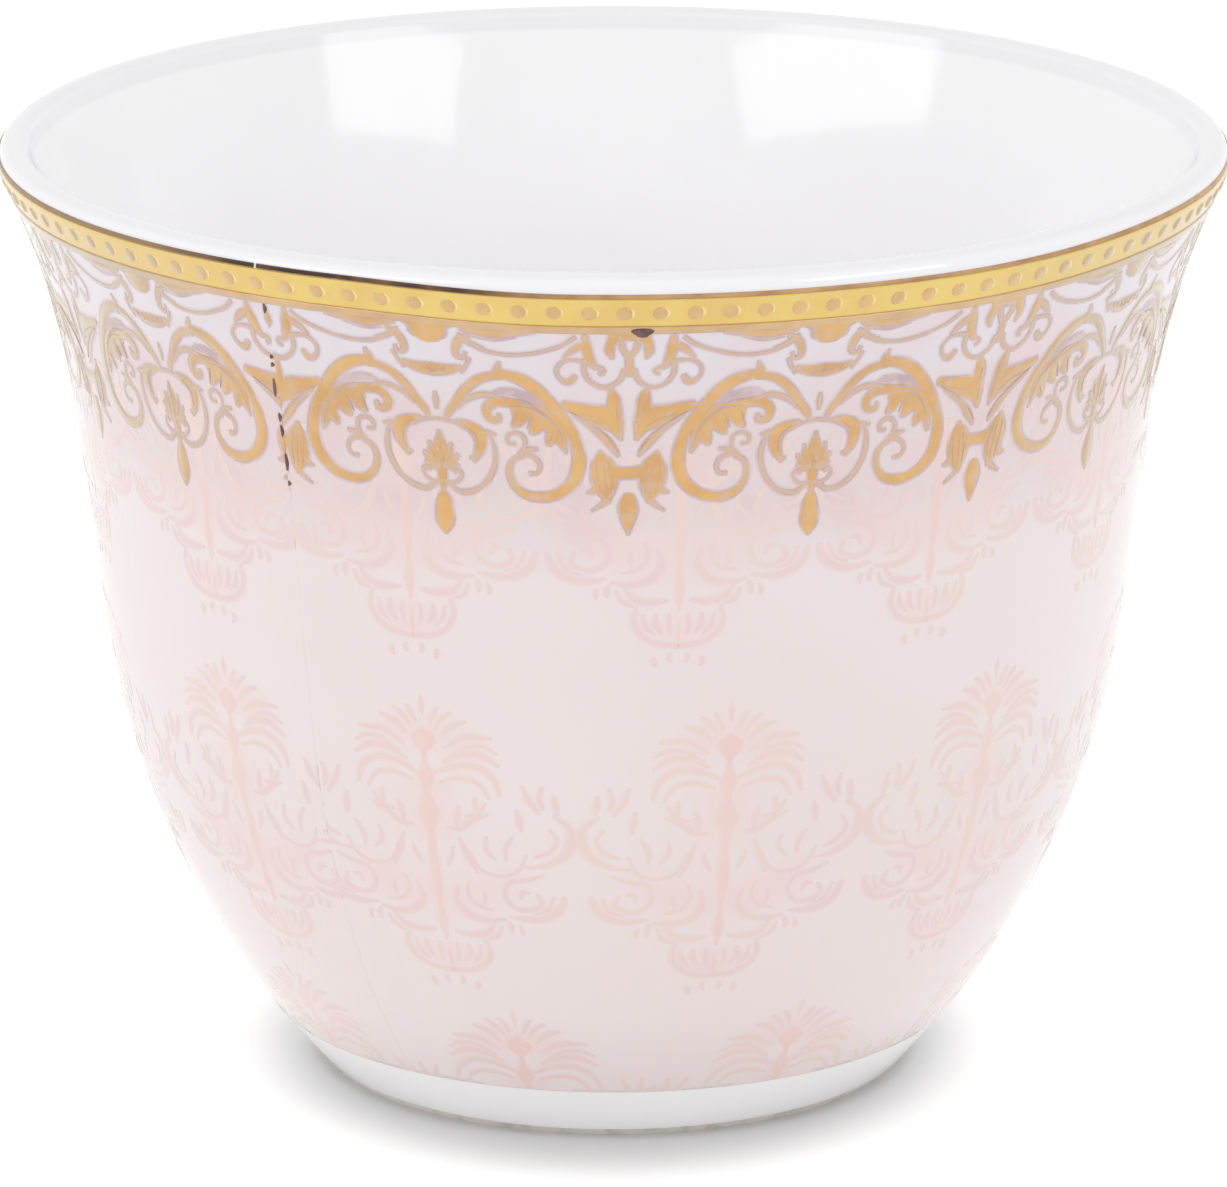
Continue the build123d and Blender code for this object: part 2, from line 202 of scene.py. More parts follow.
SCROLL = [
    [(3.6, 2.6, 0.5), (4.6, 2.85, 0.7), (5.5, 3.45, 0.75), (6.4, 4.5, 0.7), (7.2, 5.7, 0.65),
     (7.62, 6.9, 0.7), (7.68, 7.9, 0.8), (7.4, 8.8, 0.75), (6.6, 9.55, 0.65), (5.46, 9.87, 0.6),
     (4.5, 9.65, 0.5), (3.95, 9, 0.4), (3.85, 8.3, 0.35), (4.15, 7.7, 0.3), (4.6, 7.5, 0.2)],
    [(3.55, 2.9, 0.6), (3.5, 2.4, 0.5), (3.65, 1.9, 0.1)],
    [(4.35, 7.5, 0.25), (4.8, 7.15, 0.38), (5.45, 7.02, 0.12)],
    [(4.75, 7.35, 0.25), (5.2, 7.5, 0.26), (5.5, 7.8, 0.22), (5.56, 8.14, 0.2), (5.34, 8.48, 0.2),
     (5, 8.5, 0.24)],
    [(4.55, 7.4, 0.22), (4.78, 6.8, 0.2), (4.67, 6.3, 0.2), (4.25, 6.11, 0.2), (3.83, 6.38, 0.2),
     (3.86, 6.76, 0.18), (4.2, 6.8, 0.2)],
    [(3.5, 2.7, 0.45), (2.5, 3.05, 0.5), (1.75, 3.7, 0.5), (1.1, 4.6, 0.45), (0.62, 5.3, 0.4),
     (0.45, 5.75, 0.15)],
]
ACANTHUS = [
    [(7, 7.2, 0.15), (6.6, 6.05, 0.9), (5.9, 5.2, 1.2), (5, 4.8, 1.15), (4.2, 4.85, 0.5)],
    [(4.7, 4.6, 0.5), (3.9, 4.3, 0.62), (3.2, 4.4, 0.58), (2.75, 4.9, 0.52), (2.95, 5.42, 0.44),
     (3.4, 5.4, 0.36), (3.42, 5.1, 0.22)],
    [(6.5, 6, 0.85), (6.2, 6.4, 0.7), (6.05, 6.75, 0.25)],
    [(5.6, 5.2, 0.9), (5.4, 5.75, 0.75), (5.15, 6.1, 0.28)],
    [(4.6, 5, 0.8), (4.45, 5.45, 0.65), (4.15, 5.75, 0.25)],
    [(3.9, 4.3, 0.26), (2.9, 3.95, 0.3), (1.9, 4.25, 0.3), (1.2, 4.9, 0.12)],
]
LYRE = [
    [(1, 5.72, 0.2), (1.7, 5.95, 0.6), (2.25, 6.4, 0.85), (2.3, 7, 0.7), (2.1, 7.6, 0.45),
     (1.85, 8.05, 0.12)],
    [(2.35, 6.3, 0.4), (2.8, 6.25, 0.28), (3.2, 6.35, 0.08)],
    [(2.3, 7.1, 0.3), (2, 7.75, 0.25), (1.65, 7.85, 0.12)],
    [(2.86, 6.38, 0.14), (3.08, 7.22, 0.26), (2.98, 8.29, 0.28), (2.56, 9.13, 0.28), (1.65, 9.82, 0.28),
     (0.93, 9.9, 0.26), (0.39, 9.52, 0.24)],
    [(1.53, 6.15, 0.18), (0.93, 5.84, 0.18), (0, 5.69, 0.18)],
    [(0.15, 8.4, 0.3), (0.45, 7.75, 0.52), (0.62, 7.15, 0.2)],
    [(0.2, 8.5, 0.3), (0.62, 8.12, 0.48), (0.95, 7.75, 0.22)],
    [(0.2, 8.55, 0.25), (0.6, 8.5, 0.4), (0.92, 8.3, 0.2)],
    [(0.1, 9.35, 0.24), (0.5, 9.45, 0.18), (0.92, 9.25, 0.17), (1.12, 8.9, 0.17), (0.95, 8.62, 0.18),
     (0.72, 8.8, 0.24)],
]
PALMETTE = [
    [(0, 8.6, 0.4), (0, 7.4, 0.8), (0, 6.4, 0.1)],
    [(0, 8.2, 0.75), (0, 9, 0.6), (0, 9.75, 0.4)],
    [(0, 4.1, 0.1), (0, 4.55, 0.3), (0, 5.1, 0.12)],
]
MEDALLION_DROP = [
    [(0, 9.95, 0.35), (0, 10.35, 0.75), (0, 10.85, 1), (0, 11.45, 1.15), (0, 11.95, 0.95), (0, 12.25, 0.55),
     (0, 12.5, 0.08)],
]
CLUSTER = [
    [(0.72, 0.1, 0.6), (0.95, 0.6, 0.52), (1, 1.1, 0.44), (0.85, 1.5, 0.12)],
    [(0.45, 0.25, 0.3), (0.38, 0.75, 0.34), (0.14, 1.3, 0.26)],
    [(0.24, 2.2, 0.3), (0.54, 2.86, 0.24), (1.33, 3.24, 0.22), (2.05, 2.86, 0.22), (2.33, 2.32, 0.24),
     (2.3, 1.71, 0.3)],
    [(2.25, 0.15, 0.3), (2.2, 0.79, 0.55), (2.05, 1.5, 0.5), (1.75, 2.02, 0.3), (1.42, 2.1, 0.2),
     (1.3, 2.3, 0.18), (1.55, 2.42, 0.2)],
    [(2.3, 0.6, 0.4), (2.85, 0.95, 0.42), (3.4, 1.5, 0.1)],
    [(2.3, 1.7, 0.3), (2.75, 1.6, 0.2), (3.4, 1.7, 0.18), (3.78, 2.2, 0.18), (3.6, 2.75, 0.2),
     (3.15, 2.95, 0.4), (2.85, 2.6, 0.3)],
    [(1, 3.25, 0.2), (0.8, 3.9, 0.7), (0.78, 4.7, 0.85), (0.66, 5.6, 0.8), (0.4, 6.4, 0.12)],
    [(0.6, 5.55, 0.9), (1.3, 5.05, 1.35), (2.3, 4.7, 0.95), (3.5, 4.3, 0.45)],
    [(2.96, 4.92, 0.15), (1.75, 5.84, 0.34), (0.91, 6.84, 0.34), (0.54, 7.37, 0.1)],
    [(1.55, 7.1, 0.25), (1.45, 7.7, 1.2), (1.32, 8.5, 1.6), (1.25, 9.3, 1.25), (1.1, 10.1, 0.2)],
    [(0.9, 9.5, 0.3), (1.35, 10.1, 0.32), (2.05, 10.6, 0.06)],
    [(1.7, 9.2, 0.5), (2, 9.45, 0.35), (2.3, 9.5, 0.06)],
]
CLUSTER_MIDDLE = [
    [(-1, 8.3, 0.95), (0, 8.35, 0.7), (1, 8.3, 0.95)],
    [(-1, 0.06, 0.4), (0, 0.12, 0.55), (1, 0.06, 0.4)],
    [(0, 1.25, 0.34), (0, 1.9, 0.42), (0, 2.5, 0.3)],
]
CLUSTER_DROP = [
    [(0, 9.65, 0.6), (0, 10.05, 1), (0, 10.5, 1.15), (0, 11, 0.95), (0, 11.5, 0.55), (0, 12, 0.06)],
]

# Mauve lines: shade and veins on the gold, drawn in the same measures
SIDE_VEINS = [
    [(6.95, 6.9, 0.06), (6.55, 5.75, 0.16), (5.7, 4.75, 0.16), (4.75, 4.2, 0.12), (3.7, 4.1, 0.05)],
    [(6, 5.1, 0.05), (5.2, 4.6, 0.12), (4.3, 4.5, 0.05)],
    [(5.3, 4.9, 0.05), (5.05, 5.4, 0.1), (4.9, 5.85, 0.04)],
    [(4.35, 4.8, 0.05), (4.2, 5.3, 0.1), (4.08, 5.8, 0.04)],
    [(6.35, 6.05, 0.04), (6.15, 6.4, 0.09), (6.02, 6.65, 0.04)],
    [(1.5, 5.98, 0.05), (2.05, 6.5, 0.11), (2.1, 7.4, 0.05)],
    [(0.25, 8.3, 0.04), (0.45, 7.85, 0.09), (0.62, 7.35, 0.04)],
    [(1.2, 2.45, 0.14), (1.1, 2.62, 0.14)],
    [(0.72, 2.5, 0.14), (0.6, 2.74, 0.14)],
    [(0.25, 2.52, 0.14), (0.15, 2.82, 0.14)],
]
SHADE = [
    [(6.75, 5.9, 0.12), (6, 4.75, 0.55), (5.2, 4.05, 0.9), (4.4, 3.75, 0.45)],
    [(4.9, 3.95, 0.5), (4.1, 3.6, 0.4), (3.3, 3.75, 0.26), (2.7, 4.2, 0.06)],
    [(5.3, 3.95, 0.4), (4.4, 3.55, 0.22), (3.5, 3.5, 0.05)],
    [(5.1, 4.15, 0.35), (4.2, 3.85, 0.2), (3.3, 3.8, 0.05)],
    [(5, 4.35, 0.3), (4.2, 4.1, 0.16), (3.5, 4.15, 0.05)],
    [(2.4, 0.5, 0.06), (3.4, 0.62, 0.16), (4.6, 0.38, 0.05)],
]
AXIS_VEINS = [
    [(0, 8.5, 0.05), (0, 7.4, 0.1), (0, 6.5, 0.04)],
    [(-0.7, 2.62, 0.05), (0, 2.78, 0.1), (0.7, 2.62, 0.05)],
]
CLUSTER_VEINS = [
    [(3.1, 4.75, 0.05), (1.9, 5.55, 0.13), (0.9, 6.45, 0.13), (0.5, 7.1, 0.05)],
    [(1.75, 7.5, 0.04), (1.72, 8.5, 0.09), (1.5, 9.6, 0.04)],
    [(1.4, 7.4, 0.04), (1.28, 8.6, 0.09), (1.2, 9.7, 0.04)],
    [(1.1, 7.7, 0.04), (0.9, 8.6, 0.09), (0.95, 9.6, 0.04)],
    [(0.62, 4, 0.04), (0.6, 4.9, 0.09), (0.5, 5.9, 0.04)],
    [(2.6, 4.85, 0.04), (1.7, 5.15, 0.1), (0.9, 5.6, 0.04)],
]

# Strokes of one damask palm: sideways from its axis, up from the middle of its head, and width
PALM_MIDDLE = [
    [(0, -0.8, 0.4), (0, -0.35, 1.3), (0, 0.1, 1.7), (0, 0.45, 1.3), (0, 0.7, 0.3)],
    [(0, 1.5, 0.12), (0, 2.1, 0.42), (0, 2.7, 0.06)],
    [(0, -0.8, 0.45), (0, -1.3, 0.56), (0, -2.1, 1.2), (0, -3.05, 0.67), (0, -4.37, 1.57), (0, -5.45, 0.75),
     (0, -6.3, 0.65), (0, -7.7, 0.85), (0, -9.2, 0.75), (0, -10.3, 0.5), (0, -11.2, 0.8), (0, -12.45, 0.2)],
    [(0, -13.1, 0.12), (0, -13.8, 0.4), (0, -14.4, 0.2)],
]
PALM_SIDE = [
    [(0.41, 1, 0.14), (0.62, 1.5, 0.4), (0.92, 2, 0.1)],
    [(1, 0.3, 0.16), (1.6, 0.95, 0.5), (2.5, 1.3, 0.14)],
    [(1.2, -0.3, 0.16), (2.4, 0.36, 0.5), (3.9, 0.42, 0.14)],
    [(1.1, -1.2, 0.16), (2.3, -0.62, 0.5), (3.3, -0.62, 0.5), (4.25, -1.2, 0.14)],
    [(0.5, -1.95, 0.16), (1.7, -1.4, 0.44), (3, -1.35, 0.48), (3.95, -2.1, 0.4), (4.2, -3, 0.14)],
    [(0.75, -2.45, 0.1), (1.9, -2.1, 0.28), (3, -2.3, 0.28), (3.6, -3.2, 0.1)],
    [(1.57, -5.2, 0.12), (1.62, -4.5, 0.46), (1.79, -3.8, 0.1)],
    [(1, -5.2, 0.1), (1.68, -5.2, 0.34), (2.5, -4.6, 0.36), (3.4, -4.2, 0.1)],
    [(2.7, -4, 0.1), (2.75, -3.6, 0.3), (2.75, -3.2, 0.1)],
    [(5.2, -5.1, 0.1), (5.15, -4.45, 0.42), (5.05, -3.8, 0.08)],
    [(6.3, -4, 0.1), (5.8, -3.2, 0.4), (5.45, -2.3, 0.08)],
    [(7.3, -4, 0.1), (7.25, -3.4, 0.42), (7.2, -2.8, 0.08)],
    [(7.1, -4.1, 0.15), (7.9, -4.8, 0.5), (8, -5.5, 0.7), (7.4, -6.6, 0.55), (6.3, -7.2, 0.3),
     (5.2, -7.35, 0.1)],
    [(1.65, -5.8, 0.1), (1.95, -6.7, 0.42), (2.45, -7.9, 0.1)],
    [(2.05, -6.5, 0.08), (2.7, -7.7, 0.2), (3.7, -8, 0.22), (4.8, -7.6, 0.2), (5.35, -6.6, 0.08)],
    [(6.2, -7.8, 0.12), (5.25, -8.15, 0.3), (4.2, -8.4, 0.32), (3.85, -9.1, 0.32), (4.2, -9.9, 0.32),
     (5.15, -10.1, 0.3), (5.9, -9.6, 0.28), (5.7, -9.1, 0.2)],
    [(7.2, -9.2, 0.2), (6.9, -9.9, 0.55), (6.2, -10.5, 0.55), (5.1, -10.75, 0.4), (4, -10.6, 0.12)],
    [(1.2, -8.9, 0.2), (1, -9.8, 0.55), (1.55, -10.6, 0.58), (2.7, -10.95, 0.4), (3.7, -10.8, 0.1)],
    [(2.65, -9.1, 0.08), (2.7, -9.5, 0.32), (2.6, -9.9, 0.08)],
    [(3.85, -11, 0.12), (3.95, -11.35, 0.36), (3.9, -11.7, 0.08)],
    [(4.45, -11.2, 0.08), (4.55, -11.5, 0.26), (4.5, -11.8, 0.06)],
    [(3, -11.1, 0.15), (2.5, -11.75, 0.4), (1.5, -12, 0.4), (0.6, -11.9, 0.12)],
    [(2.3, -12.3, 0.15), (2.45, -13, 0.36), (2.05, -13.9, 0.38), (1.2, -14.4, 0.36), (0, -14.55, 0.34)],
    [(1.25, -12.7, 0.15), (1.25, -13.3, 0.52), (0.9, -13.8, 0.12)],
    [(1.3, -15.3, 0.2), (1.35, -15.5, 0.32), (1.2, -15.75, 0.1)],
    [(0.72, 0.75, 0.12), (1.1, 1.35, 0.36), (1.7, 1.8, 0.1)],
    [(1.45, -0.8, 0.08), (2.6, -0.15, 0.26), (3.5, -0.1, 0.26), (4.2, -0.5, 0.1)],
    [(6.55, -3.7, 0.1), (6.4, -3, 0.32), (6.6, -2.3, 0.08)],
    [(2.1, -4.4, 0.08), (2.75, -4.25, 0.26), (3.35, -3.5, 0.08)],
    [(3.2, -5.6, 0.08), (3.1, -6.4, 0.26), (3.6, -7, 0.08)],
    [(4.2, -7, 0.08), (4.25, -6.2, 0.28), (4.7, -5.5, 0.08)],
    [(6.8, -4.9, 0.08), (7.15, -5.6, 0.24), (6.7, -6.3, 0.24), (5.8, -6.7, 0.08)],
    [(4.7, -9.4, 0.1), (4.9, -8.95, 0.3), (5.3, -9, 0.1)],
    [(1.9, -8.5, 0.08), (1.75, -9.4, 0.28), (2.2, -10, 0.3), (3.1, -10.25, 0.08)],
    [(5.4, -10.35, 0.08), (6.2, -10, 0.26), (6.6, -9.2, 0.08)],
    [(3.4, -11.3, 0.08), (3.1, -11.9, 0.28), (2.5, -12.2, 0.08)],
    [(1.95, -12.7, 0.08), (1.8, -13.4, 0.32), (1.3, -13.9, 0.08)],
    [(0.5, -12.7, 0.08), (0.55, -13.3, 0.34), (0.45, -13.9, 0.08)],
    [(0.45, -15, 0.1), (0.5, -15.25, 0.26), (0.4, -15.5, 0.08)],
    [(1.2, -6.4, 0.08), (1, -7.1, 0.26), (0.75, -7.6, 0.08)],
]

# Haze under each palm, in the same measures: its fan, its middle, its sides and its foot
PALM_HAZE = [
    [(-4.2, -1.6, 2.4), (-2.4, -0.2, 3), (0, 0.4, 3.2), (2.4, -0.2, 3), (4.2, -1.6, 2.4)],
    [(0, -1.7, 3.5), (0, -4.2, 6), (0, -6.7, 4.5)],
    [(-6, -6.7, 2.4), (-3.4, -8.8, 3.9), (0, -9.5, 4.4), (3.4, -8.8, 3.9), (6, -6.7, 2.4)],
    [(0, -12.4, 4), (0, -13.7, 5), (0, -15, 3.5)],
]

# Rows of palms: height of the head, first palm, step and count, and the heights that the row shows between
PALM_ROWS = [
    (47.4, -21.2, 27.87, 13, 30.0, 44.6),
    (26.72, -20.8, 33.38, 11, 8.0, 31.0),
    (7.0, -13.7, 40.26, 9, bare_strip + hem_low, 12.0),
]

# Flaws of the print: dark flakes along the joint, by upper and lower height, and one fleck under the band by
# sideways, height and width
JOINT_FLAKES = [
    (51.3, 50.8), (48.15, 48.0), (47.65, 47.5), (46.7, 45.7), (44.6, 44.2), (43.9, 43.3), (42.2, 41.3),
    (40.6, 40.4),
]
flake_end, flake_width, flake_lean = 0.1, 0.24, 0.04
FLECK, fleck_angle = [(0, 51.56, 1.35), (0, 51.46, 1.2), (0, 51.36, 0.8)], 2.6


def circle_from(start, along, end):
    """Centre and radius of the circle that leaves a point in a direction and passes through another point."""
    across = np.array([-along[1], along[0]])
    reach = end - start
    signed = reach @ reach / (2 * across @ reach)
    return start + across * signed, abs(signed)


def arc_point(centre, radius, turn):
    """The point of a circle at a turn."""
    return centre[0] + radius * cos(turn), centre[1] + radius * sin(turn)


def wall_arcs():
    """The wall's arcs from the foot to the lip: lower and upper height, centre, radius, and 1 for a bulge."""
    lean = np.array([sin(waist_lean), cos(waist_lean)])
    side_centre, side_radius = circle_from(waist, -lean, belly)
    to_belly = (belly - side_centre) / side_radius
    foot_centre, foot_radius = circle_from(belly, (to_belly[1], -to_belly[0]), glaze_edge)
    to_lip = lip_centre - waist
    out = np.array([lean[1], -lean[0]])
    flare_radius = (to_lip @ to_lip - lip_round**2) / (2 * (lip_round + out @ to_lip))
    flare_centre = waist + out * flare_radius
    share = flare_radius / (flare_radius + lip_round)
    lip_joint = flare_centre[1] + (lip_centre[1] - flare_centre[1]) * share
    return [
        (glaze_edge[1], belly[1], foot_centre, foot_radius, 1),
        (belly[1], waist[1], side_centre, side_radius, 1),
        (waist[1], lip_joint, flare_centre, flare_radius, -1),
        (lip_joint, cup_height, lip_centre, lip_round, 1),
    ]


WALL_ARCS = wall_arcs()
lip_joint_height = WALL_ARCS[3][0]


def wall_point(height, lift):
    """Radius and height of points at a lift off the glazed wall, for arrays of heights on the wall."""
    height = np.clip(np.asarray(height, float), glaze_edge[1], cup_height)
    lift = np.broadcast_to(np.asarray(lift, float), height.shape)
    radius, level = np.zeros(height.shape), np.zeros(height.shape)
    for low, high, centre, arc_radius, bulge in WALL_ARCS:
        here = (height >= low) & (height <= high)
        rise = height[here] - centre[1]
        across = np.sqrt(np.maximum(arc_radius**2 - rise**2, 0))
        radius[here] = centre[0] + bulge * across + across / arc_radius * lift[here]
        level[here] = height[here] + bulge * rise / arc_radius * lift[here]
    return radius, level


def smooth(value, start, end):
    """A smooth step from 0 to 1 between two values."""
    share = np.clip((value - start) / (end - start), 0, 1)
    return share * share * (3 - 2 * share)


def on_wall(angle, height, lift):
    """Places in space of points of the print, given by angle, height and lift off the glaze."""
    turn = (np.asarray(angle, float) + 180) % 360 - 180
    dip = smooth(turn, dip_start, dip_low) * (1 - smooth(turn, dip_high, dip_end))
    height = height + print_rise * (1 - dip) * smooth(np.asarray(height, float), rise_start, rise_full)
    radius, level = wall_point(height, lift)
    turn = np.radians(angle)
    return np.stack([radius * np.sin(turn), -radius * np.cos(turn), level], axis=-1)


def cup_profile(depth, lower_rows=70, upper_rows=60, lip_rows=28, inner_rows=90, corner_rows=24):
    """Radius and height from the glaze's edge up the outside, over the lip and down inside to the axis."""
    lower = np.linspace(glaze_edge[1], upper_start - upper_step, lower_rows)
    upper = np.linspace(upper_start, lip_joint_height, upper_rows)
    outside = np.stack(wall_point(np.concatenate([lower, upper]), -depth), axis=-1)
    turns = np.linspace(asin((lip_joint_height - lip_centre[1]) / lip_round), pi + lip_past, lip_rows)[1:-1]
    lip = [arc_point(lip_centre, lip_round - depth, t) for t in turns]
    inner = np.linspace(lip_joint_height, bowl_corner_height, inner_rows)
    inside = np.stack(wall_point(inner, depth - wall), axis=-1)
    above = np.stack(wall_point(np.array([bowl_corner_height + wall_step]), depth - wall), axis=-1)[0]
    corner = inside[-1]
    up = (above - corner) / np.linalg.norm(above - corner)
    floor = floor_height - depth
    round_radius = (corner[1] - floor) / (1 - up[0])
    centre = (corner[0] - round_radius * up[1], floor + round_radius)
    start = np.arctan2(corner[1] - centre[1], corner[0] - centre[0])
    bend = [arc_point(centre, round_radius, t) for t in np.linspace(start, -pi / 2, corner_rows)[1:]]
    base = [(centre[0] * share, floor) for share in (0.75, 0.5, 0.25, 0.0)]
    return np.concatenate([outside, lip, inside, bend, base])


def new_object(name, data):
    """A new object in the scene."""
    thing = bpy.data.objects.new(name, data)
    bpy.context.scene.collection.objects.link(thing)
    return thing


def piece(name, parts, material, replaced=()):
    """A mesh of vertices, faces and perhaps ink that rides on the cup and may stand for solids."""
    verts, faces, *inks = parts
    mesh = bpy.data.meshes.new(name)
    mesh.from_pydata((np.asarray(verts) * MM).tolist(), [], faces)
    for ink in inks:
        mesh.attributes.new("ink", "FLOAT", "POINT").data.foreach_set("value", np.asarray(ink, np.float32))
    mesh.validate()
    mesh.shade_smooth()
    mesh.set_sharp_from_angle(angle=sharp_edge)
    mesh.materials.append(material)
    thing = new_object(name, mesh)
    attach(thing, "root")
    if replaced:
        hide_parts(*replaced)


def ring_faces(rings, steps, gap):
    """Faces between rings of vertex numbers, the last joined to the first, with closed ends at a gap."""
    faces = []
    for k in range(len(rings)):
        low, high = rings[k], rings[(k + 1) % len(rings)]
        if low[0] == low[1] and high[0] == high[1]:
            continue
        for j in range(steps - 1 if gap else steps):
            i = (j + 1) % steps
            faces.append(list(dict.fromkeys([low[j], low[i], high[i], high[j]])))
    if gap:
        for k in range(len(rings) // 2 - 1):
            four = [rings[m] for m in (k, k + 1, -2 - k, -1 - k)]
            faces.append([ring[0] for ring in four])
            faces.append([ring[-1] for ring in four][::-1])
    return faces


def lathe(profile, steps=360, on_axis=1e-6):
    """Vertices and faces of a closed profile turned about the cup's axis."""
    verts, rings = [], []
    turns = 2 * pi * np.arange(steps) / steps
    for radius, level in profile:
        first = len(verts)
        if radius < on_axis:
            verts.append((0, 0, level))
            rings.append([first] * steps)
            continue
        ring = [radius * np.sin(turns), -radius * np.cos(turns), np.full(steps, level)]
        verts.extend(np.stack(ring, axis=-1).tolist())
        rings.append(list(range(first, first + steps)))
    return verts, ring_faces(rings, steps, False)


def wrap(angles, heights, lifts, gap):
    """Vertices and faces of a film round the wall, by its rows' angles and lifts, with its underside sunk."""
    shape = (heights.size, angles.shape[-1])
    angles, levels, lifts = (np.broadcast_to(a, shape) for a in (angles, heights[:, None], lifts))
    outer, inner = on_wall(angles, levels, lifts), on_wall(angles, levels, -sink)
    verts = np.concatenate([outer, inner[::-1]]).reshape(-1, 3)
    rings = np.arange(len(verts)).reshape(-1, shape[1]).tolist()
    return verts, ring_faces(rings, shape[1], gap)


def band(low, high, thickness, gap, rows=25, edge=0.06):
    """Vertices and faces of a film with soft edges between two heights, open at the joint by a gap."""
    heights = np.linspace(low, high, rows)
    near = np.minimum(heights - low, high - heights)
    lifts = thickness * np.sqrt(np.clip(1 - np.clip(1 - near / edge, 0, 1) ** 2, 0, 1))
    gap_angle = np.degrees(gap / rim_radius)
    share = np.arange(round_steps) / (round_steps - 1 if gap else round_steps)
    angles = joint_high + gap_angle / 2 + (360 - gap_angle) * share
    return wrap(angles, heights, lifts[:, None], gap)


def smooth_curve(stroke, least_points=7, least_width=0.03):
    """Evenly spaced points, tangents and widths of a smooth curve through a stroke."""
    stroke = np.asarray(stroke, float)
    steps = np.hypot(*np.diff(stroke[:, :2], axis=0).T)
    at = np.concatenate([[0], np.cumsum(steps)])
    slope = np.gradient(stroke, at, axis=0)
    want = np.linspace(0, at[-1], max(least_points, int(at[-1] / point_step) + 1))
    span = np.clip(np.searchsorted(at, want, side="right") - 1, 0, len(steps) - 1)
    length = steps[span][:, None]
    t = ((want - at[span]) / steps[span])[:, None]
    curve = (2 * t**3 - 3 * t**2 + 1) * stroke[span] + (t**3 - 2 * t**2 + t) * length * slope[span]
    curve += (3 * t**2 - 2 * t**3) * stroke[span + 1] + (t**3 - t**2) * length * slope[span + 1]
    tangent = np.gradient(curve[:, :2], axis=0)
    tangent /= np.linalg.norm(tangent, axis=1)[:, None]
    return curve[:, :2], tangent, np.maximum(curve[:, 2], least_width)


def round_ends(line, tangent, width):
    """The stroke with a half round added at each end."""
    turns = np.radians(end_turns)
    first = line[0] - tangent[0] * (min(width[0] / 2, longest_end) * np.sin(turns))[:, None]
    last = line[-1] + tangent[-1] * (min(width[-1] / 2, longest_end) * np.sin(turns[::-1]))[:, None]
    line = np.concatenate([first, line, last])
    tangent = np.pad(tangent, ((turns.size, turns.size), (0, 0)), "edge")
    width = np.concatenate([width[0] * np.cos(turns), width, width[-1] * np.cos(turns[::-1])])
    return line, tangent, width


def strip(line, tangent, offsets, lifts, inks):
    """A closed strip along a line: sideways, along, lift and ink of its vertices, and its faces."""
    across = np.stack([-tangent[:, 1], tangent[:, 0]], axis=-1)
    flat = line[:, None, :] + across[:, None, :] * offsets[:, :, None]
    rows, columns = offsets.shape
    faces = []
    for row in range(rows - 1):
        for column in range(columns):
            a = row * columns + column
            b = row * columns + (column + 1) % columns
            faces.append((a, b, b + columns, a + columns))
    faces.append(tuple(range(columns))[::-1])
    faces.append(tuple(range((rows - 1) * columns, rows * columns)))
    lifts, inks = (np.broadcast_to(a, offsets.shape).ravel() for a in (film + lifts, inks))
    return flat[..., 0].ravel(), flat[..., 1].ravel(), lifts, inks, faces


def ribbon(stroke, layer, widen=0.0, soft=0.0, faint=0.0):
    """A stroke as a low strip: its ink fades at a soft edge, or its edges are sunk and thin lines faint."""
    line, tangent, width = round_ends(*smooth_curve(stroke))
    half = (width + widen) / 2
    core = half * shoulder_out
    edge = -sink
    inks = smooth(width, thin_line, full_line)[:, None]
    if soft:
        core = np.where(half > soft_full * soft, half - soft, half * soft_core)
        edge = soft_rest
        inks = np.ones((len(line), 5))
        inks[:, [0, -1]] = faint
        inks[[0, -1]] = faint
        inks[[1, -2]] *= end_ink
    shoulder = layer[0] + shoulder_rise * layer[1]
    lifts = np.array([edge, shoulder, layer[0] + layer[1], shoulder, edge])
    return strip(line, tangent, np.stack([-half, -core, 0 * half, core, half], axis=-1), lifts, inks)


def wash(stroke, layer, ink, columns=11, under_columns=7, under=0.96):
    """A wide stroke of thin ink that fades away to its edges and ends."""
    line, tangent, width = smooth_curve(stroke)
    top, bottom = np.linspace(-1, 1, columns), np.linspace(under, -under, under_columns)
    places = np.concatenate([top, bottom])
    ends = 1 - smooth(np.abs(np.linspace(-1, 1, len(line))), haze_end, 1)
    inks = ink * np.outer(ends, 1 - smooth(np.abs(places), haze_side, 1))
    lifts = np.concatenate([layer[0] + layer[1] * (1 - top**2), np.full(bottom.size, -sink)])
    return strip(line, tangent, np.outer(width / 2, places), lifts, inks)


def cut(verts, inks, faces, point, outward):
    """The mesh without what lies beyond a plane, with its cut ends closed."""
    work = bmesh.new()
    strength = work.verts.layers.float.new("ink")
    made = [work.verts.new(v) for v in verts]
    for vert, ink in zip(made, inks):
        vert[strength] = ink
    for face in faces:
        work.faces.new([made[k] for k in face])
    geometry = work.verts[:] + work.edges[:] + work.faces[:]
    side = {"plane_co": point, "plane_no": outward, "clear_outer": True}
    bmesh.ops.bisect_plane(work, geom=geometry, dist=cut_reach, **side)
    bmesh.ops.holes_fill(work, edges=[e for e in work.edges if e.is_boundary], sides=0)
    work.verts.index_update()
    verts = np.array([tuple(v.co) for v in work.verts]).reshape(-1, 3)
    inks = np.array([v[strength] for v in work.verts])
    faces = [tuple(v.index for v in f.verts) for f in work.faces]
    work.free()
    return verts, inks, faces


